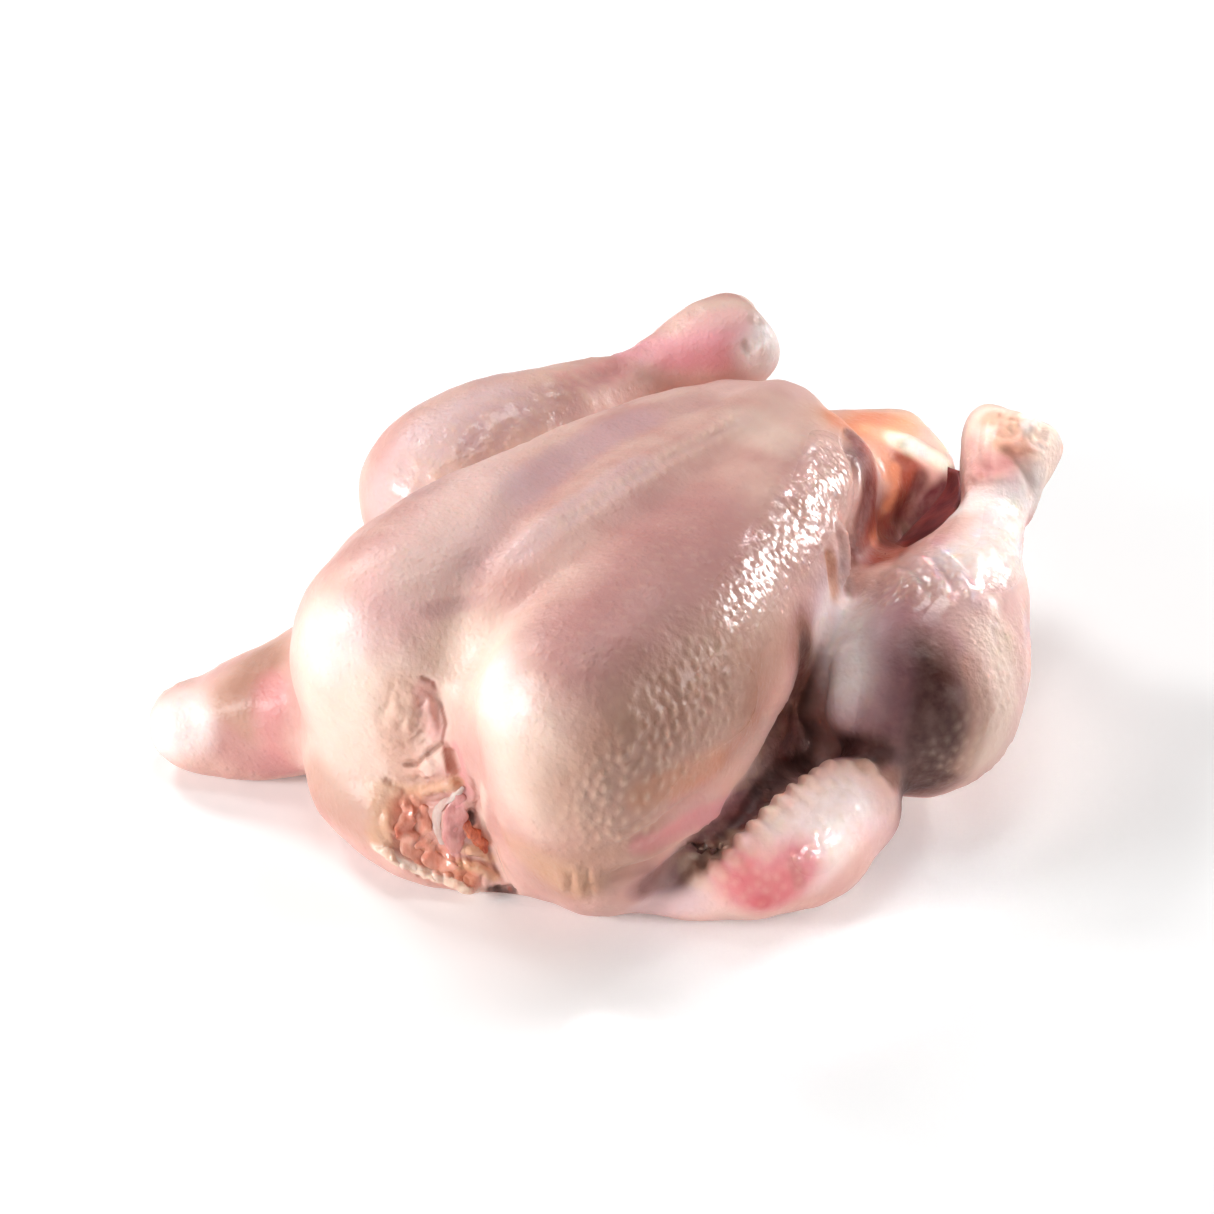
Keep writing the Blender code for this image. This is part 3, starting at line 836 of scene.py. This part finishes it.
HIDDEN_PAINT = [
    ("cream", 26, 0.5, (-72, -50, 62), (-74, -20, 60), (-66, 12, 56)),
    ("rose", 10, 0.5, (-78, -50, 28), (-76, -34, 26)),
    ("tan", 16, 0.5, (-72, -30, 34), (-70, 0, 32), (-64, 24, 30)),
    ("blush", 24, 0.7, (-104, -4, 44), (-98, 20, 48), (-84, 50, 58)),
    ("lilac", 14, 0.5, (-96, 6, 66), (-84, 30, 74)),
    ("mauve", 16, 0.45, (-98, 6, 22), (-80, 34, 12), (-60, 60, 12)),
    ("cream", 12, 0.5, (-74, 56, 50), (-66, 72, 62)),
    ("rose", 12, 0.55, (-70, 74, 66), (-62, 88, 64), (-60, 84, 82)),
    ("plum", 7, 0.35, (-66, 84, 60), (-56, 82, 56)),
    ("cream", 15, 0.9, (-50, 120, 84), (-42, 124, 72), (-36, 118, 62)),
    ("pearl", 8, 0.8, (-52, 118, 78), (-36, 120, 80), (-34, 116, 70)),
    ("ember", 7, 0.3, (-46, 122, 84), (-41, 124, 74), (-38, 118, 62)),
    ("rose", 5, 0.3, (-50, 120, 70)),
    ("blush", 22, 0.6, (104, 10, 44), (96, 36, 44), (80, 64, 52)),
    ("rose", 11, 0.5, (74, 74, 52), (68, 86, 50)),
    ("cream", 13, 0.9, (58, 120, 80), (50, 124, 72), (44, 118, 66)),
    ("pearl", 7, 0.8, (60, 118, 74), (44, 120, 76)),
    ("ember", 7, 0.3, (54, 122, 80), (50, 124, 72), (46, 118, 62)),
    ("mauve", 14, 0.4, (60, 60, 16), (44, 76, 14)),
    ("blush", 18, 0.7, (-20, 96, 56), (0, 106, 52), (24, 106, 52)),
    ("rose", 10, 0.5, (-28, 82, 34), (0, 92, 32), (26, 90, 32)),
    ("fat", 12, 0.6, (-10, 92, 22), (2, 102, 22), (14, 92, 20)),
    ("cream", 9, 0.6, (3, 110, 22), (2, 104, 14)),
    ("tan", 14, 0.5, (-20, 70, 10), (20, 70, 10)),
    ("blush", 16, 0.5, (-100, -106, 16), (-80, -84, 22), (-66, -60, 26)),
    ("rose", 10, 0.45, (-84, -70, 14), (-70, -56, 16)),
    ("cream", 12, 0.6, (-104, -104, 12)),
]
print("strokes of colour", len(SEEN_PAINT) + len(HIDDEN_PAINT))

# %% [markdown]
# ## Laying the colours on
# Strokes on the hidden sides go first, so those that the photograph shows win where they meet. Two
# more values are kept for each point of the skin: how wet it is, for the gloss, and how high its goose
# bump stands, since a bump's tip is paler.

# %% Laying the colours on
PAINT_FULLNESS = 1.35
FULL_DROP = 0.6
SEEN_WET = [
    (17, 1, (740, 600), (800, 530), (835, 450)),
    (24, 0.75, (620, 800), (680, 740), (740, 700)),
    (16, 1, (930, 590), (1000, 560), (1010, 520)),
    (14, 1, (815, 850), (845, 810)),
    (12, 1, (410, 830), (480, 860)),
    (18, 0.7, (880, 440), (880, 540)),
    (14, 0.6, (420, 480), (560, 395)),
]
DAMP = 0.04


def cover(points, line, reach, strength):
    """How fully a stroke covers each point."""
    return np.clip(PAINT_FULLNESS * nearness(points, line, reach * MM), 0, 1) * strength


def store(name, kind, field, values):
    """Keeps a value for each point of the skin, for the finish to read."""
    skin_mesh.attributes.new(name, kind, "POINT").data.foreach_set(field, values.ravel())


skin_points = read_rows(skin_mesh)
paint = np.zeros((len(skin_points), 4))
for rows, line_through in ((HIDDEN_PAINT, real_line), (SEEN_PAINT, seen_line)):
    for name, reach, strength, *places in rows:
        share = cover(skin_points, line_through(places), reach, strength)[:, None]
        paint = paint * (1 - share) + np.array(srgb(PALETTE[name])) * share
paint[:, :3] /= np.maximum(paint[:, 3:], 1e-6)
wet = np.full(len(skin_points), DAMP)
for reach, strength, *pixels in SEEN_WET:
    wet = np.maximum(wet, cover(skin_points, seen_line(pixels), reach, strength))
store("paint", "FLOAT_COLOR", "color", paint)
store("wet", "FLOAT", "value", wet)
store("drops", "FLOAT", "value", np.clip(drop_height / FULL_DROP, 0, 1))
print("painted points", int(np.count_nonzero(paint[:, 3])), "of", len(paint))

# %% [markdown]
# ## Raw skin
# Plucked skin is thin, slightly see-through and moist. Its light sinks in and comes out red, which is
# what the subsurface settings do, and a thin wet film lies over it as a coat. Between the follicles
# the skin wrinkles finely. The painted layers are broken up by noise, as colour under skin is.

# %% Raw skin finish
SKIN_IOR = 1.4
DEEP_PINK = "D4A096"
PALE_PINK = "E3B9AC"
DROP_TIP = "E8C4AC"
RED_SINKS_DEEPEST = (1.0, 0.35, 0.2)
FILM_ROUGHNESS = 0.12
FOLLICLE_SPACING = 2.2 * MM
WRINKLE_SIZE = 1.1 * MM
BLOTCH_SIZE = 24 * MM
MOTTLE_SIZE = 5 * MM


def node(tree, kind, values=None, links=None, **settings):
    """Adds one shader node with its settings, socket values and incoming links. Gives its outputs."""
    made = tree.nodes.new("ShaderNode" + kind)
    for name, value in settings.items():
        setattr(made, name, value)
    for socket, value in (values or {}).items():
        made.inputs[socket].default_value = value
    for socket, source in (links or {}).items():
        tree.links.new(source, made.inputs[socket])
    return made.outputs


def raw_flesh(name, weight, depth):
    """A material that light sinks into, by a weight and a depth in millimetres, under a wet film."""
    material = bpy.data.materials.new(name)
    material.use_nodes = True
    shader = material.node_tree.nodes["Principled BSDF"]
    shader.inputs["IOR"].default_value = SKIN_IOR
    shader.inputs["Subsurface Weight"].default_value = weight
    shader.inputs["Subsurface Radius"].default_value = RED_SINKS_DEEPEST
    shader.inputs["Subsurface Scale"].default_value = depth * MM
    shader.inputs["Coat Roughness"].default_value = FILM_ROUGHNESS
    return material, material.node_tree, shader


def raw_skin():
    """Raw poultry skin: blotched pale pink, painted layers over it, goose bumps and a wet film."""
    material, tree, shader = raw_flesh("raw_poultry_skin", 0.25, 2.5)
    place = {"Vector": node(tree, "TexCoord")["Object"]}
    blotch = node(tree, "TexNoise", {"Scale": 1 / BLOTCH_SIZE, "Detail": 3.0}, place)
    mottle = node(tree, "TexNoise", {"Scale": 1 / MOTTLE_SIZE, "Detail": 4.0}, place)
    patch = node(tree, "MapRange", {"From Min": 0.38, "From Max": 0.62}, {"Value": blotch["Fac"]})
    pinks = {6: srgb(DEEP_PINK), 7: srgb(PALE_PINK)}
    ground = node(tree, "Mix", pinks, {0: patch["Result"]}, data_type="RGBA")
    thinning = {"From Min": 0.3, "From Max": 0.7, "To Min": 0.88, "To Max": 1.05}
    uneven = node(tree, "MapRange", thinning, {"Value": mottle["Fac"]})
    layer = node(tree, "Attribute", attribute_name="paint")
    factors = {0: layer["Alpha"], 1: uneven["Result"]}
    share = node(tree, "Math", links=factors, operation="MULTIPLY", use_clamp=True)
    layers = {0: share["Value"], 6: ground[2], 7: layer["Color"]}
    painted = node(tree, "Mix", links=layers, data_type="RGBA")
    drop = node(tree, "Attribute", attribute_name="drops")
    drop_share = node(tree, "MapRange", {"To Max": 0.45}, {"Value": drop["Fac"]})
    layers = {0: drop_share["Result"], 6: painted[2]}
    tipped = node(tree, "Mix", {7: srgb(DROP_TIP)}, layers, data_type="RGBA")
    follicle = node(tree, "TexVoronoi", {"Scale": 1 / FOLLICLE_SPACING}, place, feature="SMOOTH_F1")
    dot = node(
        tree,
        "MapRange",
        {"From Max": 0.5, "To Min": 1.0, "To Max": 0.0},
        {"Value": follicle["Distance"]},
        interpolation_type="SMOOTHSTEP",
    )
    pitted = node(tree, "Bump", {"Distance": 0.35 * MM, "Strength": 0.35}, {"Height": dot["Result"]})
    wrinkle = node(tree, "TexNoise", {"Scale": 1 / WRINKLE_SIZE, "Detail": 3.0}, place)
    relief = {"Height": wrinkle["Fac"], "Normal": pitted["Normal"]}
    wrinkled = node(tree, "Bump", {"Distance": 0.3 * MM, "Strength": 0.6}, relief)
    wet = {"Value": node(tree, "Attribute", attribute_name="wet")["Fac"]}
    film = node(tree, "MapRange", {"To Min": 0.03, "To Max": 0.6}, wet)
    rough = node(tree, "MapRange", {"To Min": 0.46, "To Max": 0.2}, wet)
    tree.links.new(film["Result"], shader.inputs["Coat Weight"])
    tree.links.new(tipped[2], shader.inputs["Base Color"])
    tree.links.new(rough["Result"], shader.inputs["Roughness"])
    tree.links.new(wrinkled["Normal"], shader.inputs["Normal"])
    return material


def finished(piece, material):
    """Gives a piece its finish, and lets it ride on the bird in place of the plain solid."""
    piece.data.materials.append(material)
    piece.data.shade_smooth()
    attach(piece, "root")
    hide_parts("chicken")


finished(linked("skin", skin_mesh), raw_skin())
print("skin triangles", sum(len(f.vertices) - 2 for f in skin_mesh.polygons))

# %% [markdown]
# ## Strands
# The torn neck shows strands of muscle, a strip of white membrane and a rim of torn skin. Each is a
# soft strand that lies on the skin: rings of a few sides, flat or round, are set along a line of
# pixels and bridged, and the ends are rounded off. Noise then makes it as uneven as torn tissue. Its
# seed is set first, since Blender's vector noise otherwise differs from run to run.

# %% Strand maker
STRAND_SIDES = 12
END_ANGLES = [math.radians(a) for a in (25, 50, 72, 86)]
noise.seed_set(SEED)
SHAKE_SIZE = 2.5 * MM
SEED_SHIFT = 0.1


def strand(name, rows, roughness, seed):
    """A closed strand through rows of a pixel, half width, half thickness and lift."""
    corners = []
    for u, v, width, thick, lift in rows:
        point, normal = on_skin(u, v)
        corners.append((*(point + normal * lift * MM), width * MM, thick * MM))
    line = smooth_line(corners)
    centres = [Vector(r[:3]) for r in line]
    befores = centres[:1] + centres[:-1]
    afters = centres[1:] + centres[-1:]
    rings = [(c, (b - a).normalized(), r[3], r[4]) for c, a, b, r in zip(centres, befores, afters, line)]
    first, last = rings[0], rings[-1]
    for angle in END_ANGLES:
        for (c, way, width, thick), sign in ((first, -1), (last, 1)):
            place = c + way * sign * width * math.sin(angle)
            cap = (place, way, width * math.cos(angle), thick * math.cos(angle))
            rings.insert(0, cap) if sign < 0 else rings.append(cap)
    bm = bmesh.new()
    loops = []
    for centre, way, width, thick in rings:
        up = tree.find_nearest(centre)[1]
        across = way.cross(up).normalized()
        up = across.cross(way)
        turn = Matrix((across * width, up * thick, way)).transposed().to_4x4()
        circle = bmesh.ops.create_circle(
            bm, segments=STRAND_SIDES, radius=1.0, matrix=Matrix.Translation(centre) @ turn
        )
        loops.append(list({e for v in circle["verts"] for e in v.link_edges}))
    for one, other in zip(loops, loops[1:]):
        bmesh.ops.bridge_loops(bm, edges=one + other)
    bmesh.ops.holes_fill(bm, edges=loops[0] + loops[-1], sides=0)
    bmesh.ops.recalc_face_normals(bm, faces=bm.faces)
    bmesh.ops.subdivide_edges(bm, edges=bm.edges, cuts=1, use_grid_fill=True, smooth=0.0)
    for vert in bm.verts:
        shake = noise.noise_vector((vert.co + Vector((seed, 0, 0)) * SEED_SHIFT) / SHAKE_SIZE)
        vert.co += shake * roughness * MM
    piece = linked(name, mesh_of(bm, name))
    finer = piece.modifiers.new("soft", "SUBSURF")
    finer.levels = 1
    finer.render_levels = 1
    return piece


# %% [markdown]
# ## Raw muscle, membrane and torn skin
# Raw muscle is wet, salmon red and streaked along its fibres, and redder where blood has soaked in.
# The torn edge of the skin is cream with fat, the membrane is pearly, and the belly's lining at the
# vent is dark and dull. One builder makes all of them from two colours, the size of their streaks in
# millimetres, the roughness, the weight of the wet coat and how deeply light sinks in.

# %% Finishes of the torn neck
FIBRE_STRETCH = (1.0, 1.0, 0.35)


def tissue(name, light, dark, streak, roughness, coat, depth):
    """Wet tissue: two colours in streaks of a size in millimetres, with a fine bump."""
    material, tree, shader = raw_flesh(name, 0.3, depth)
    place = node(tree, "TexCoord")["Object"]
    stretched = node(tree, "Mapping", {"Scale": FIBRE_STRETCH}, {"Vector": place})
    sizes = {"Scale": 1 / (streak * MM), "Detail": 4.0, "Roughness": 0.6}
    streaks = node(tree, "TexNoise", sizes, {"Vector": stretched["Vector"]})
    share = node(tree, "MapRange", {"From Min": 0.35, "From Max": 0.65}, {"Value": streaks["Fac"]})
    colours = {6: srgb(dark), 7: srgb(light)}
    mix = node(tree, "Mix", colours, {0: share["Result"]}, data_type="RGBA")
    bump = node(tree, "Bump", {"Distance": 0.4 * MM, "Strength": 0.7}, {"Height": streaks["Fac"]})
    tree.links.new(mix[2], shader.inputs["Base Color"])
    tree.links.new(bump["Normal"], shader.inputs["Normal"])
    shader.inputs["Roughness"].default_value = roughness
    shader.inputs["Coat Weight"].default_value = coat
    return material


muscle = tissue("raw_muscle", "F6B6A0", "DA846C", 3.5, 0.34, 0.4, 2.5)
pale_muscle = tissue("pale_raw_muscle", "E4A8A2", "C27C78", 3.5, 0.34, 0.4, 2.5)
blood = tissue("blood_soaked_tissue", "E0805A", "A84C34", 1.6, 0.3, 0.5, 1.5)
rim_skin = tissue("torn_skin_edge", "F6DCC8", "E6BCA4", 2.6, 0.4, 0.3, 2.0)
membrane = tissue("white_membrane", "DCC8C0", "C4A69C", 3.0, 0.34, 0.4, 2.0)
vent_skin = tissue("vent_lining", "843C38", "5A2428", 6.0, 0.45, 0.15, 2.0)
print("finishes", len(bpy.data.materials))

# %% [markdown]
# ## The torn neck
# The neck was cut off, and its loose skin hangs open between the breast's lobes. The flap of fat at
# the top and the small dark hole are pressed and painted already. Added here are the membrane, the
# strands of muscle, the blood-soaked tissue by the hole, and the torn edge that lies on the table.
#
# A row gives a pixel, and there the strand's half width, half thickness and lift in millimetres.

# %% The torn neck
NECK_PIECES = [
    ("membrane_strip", membrane, "cartilage", 0.35, [
        (463, 788, 0.6, 0.4, 0.2), (454, 797, 1.0, 0.5, 0.1), (442, 805, 1.5, 0.6, 0.1),
        (437, 816, 1.8, 0.6, 0.1), (438, 830, 1.6, 0.5, 0.0), (442, 842, 1.1, 0.4, -0.1),
        (445, 850, 0.5, 0.3, -0.3),
    ]),
    ("muscle_left", muscle, "flesh", 0.7, [
        (409, 804, 2.0, 0.8, -0.6), (405, 822, 3.4, 1.0, -0.4),
        (408, 842, 3.6, 1.0, -0.4), (420, 858, 2.4, 0.8, -0.6),
    ]),
    ("muscle_middle", muscle, "flesh", 0.7, [
        (424, 810, 1.8, 0.8, -0.6), (422, 832, 3.2, 1.0, -0.5),
        (432, 854, 3.6, 1.0, -0.4), (452, 871, 2.6, 0.8, -0.6),
    ]),
    ("muscle_right", pale_muscle, "flesh", 0.7, [
        (460, 800, 2.0, 0.8, -0.6), (456, 818, 3.4, 1.0, -0.5),
        (455, 836, 3.4, 1.0, -0.5), (458, 852, 2.0, 0.8, -0.6),
    ]),
    ("bloody_tissue", blood, "flesh", 0.9, [
        (466, 824, 1.0, 0.8, -0.3), (472, 832, 1.8, 1.3, -0.2),
        (480, 841, 1.9, 1.3, -0.2), (486, 850, 1.1, 0.9, -0.4),
    ]),
    ("torn_rim", rim_skin, "skin", 0.8, [
        (370, 845, 0.7, 0.6, -0.8), (378, 850, 1.4, 1.1, -0.9),
        (388, 855, 1.9, 1.5, -0.8), (398, 865, 1.5, 1.2, -1.0),
        (410, 869, 1.2, 1.0, -1.0), (426, 875, 1.8, 1.4, -0.9),
        (442, 880, 1.3, 1.1, -1.0), (456, 886, 1.8, 1.4, -0.9),
        (474, 891, 1.4, 1.1, -1.0), (490, 896, 0.8, 0.7, -1.0),
    ]),
]
for number, (name, material, slot, roughness, rows) in enumerate(NECK_PIECES):
    finished(strand(name, rows, roughness, number), material)
print("neck pieces", len(NECK_PIECES))

# %% [markdown]
# ## The skin beside the vent
# Between the vent's flap and the right leg the belly skin is stretched like a web, dark and raw on
# its inner side. A sheet spans from the flap to the leg, sags a little away from the viewer, and is
# given the thickness of skin. Both its edges are tucked in behind what they join, the leg's deeper.

# %% The skin beside the vent
WEB_COLUMNS = 10
WEB_ROWS = [
    ((944, 464), (964, 470)),
    ((946, 482), (966, 492)),
    ((936, 500), (960, 508)),
    ((920, 520), (948, 528)),
    ((902, 540), (928, 550)),
    ((884, 556), (906, 568)),
]
FLAP_TUCK = 2.0
LEG_TUCK = 9.0
WEB_SAG = 3.0
WEB_THICKNESS = 1.6


def web(name, rows, sag, thick):
    """A sheet between pairs of pixels, tucked in behind them and sagging away from the camera."""
    lefts = smooth_line([on_skin(*left)[0] - camera_way * FLAP_TUCK * MM for left, _ in rows])
    rights = smooth_line([on_skin(*right)[0] - camera_way * LEG_TUCK * MM for _, right in rows])
    bm = bmesh.new()
    bmesh.ops.create_grid(bm, x_segments=WEB_COLUMNS, y_segments=len(lefts) - 1, size=1.0)
    bm.verts.ensure_lookup_table()
    for i, (left, right) in enumerate(zip(lefts, rights)):
        for j in range(WEB_COLUMNS + 1):
            share = j / WEB_COLUMNS
            middle = Vector(left) * (1 - share) + Vector(right) * share
            depth = sag * MM * math.sin(math.pi * share)
            bm.verts[i * (WEB_COLUMNS + 1) + j].co = middle - camera_way * depth
    bmesh.ops.recalc_face_normals(bm, faces=bm.faces)
    piece = linked(name, mesh_of(bm, name))
    sheet = piece.modifiers.new("skin_thickness", "SOLIDIFY")
    sheet.thickness = thick * MM
    sheet.offset = 0.0
    return piece


finished(web("vent_web", WEB_ROWS, WEB_SAG, WEB_THICKNESS), vent_skin)
print("sheet thickness", WEB_THICKNESS, "mm")
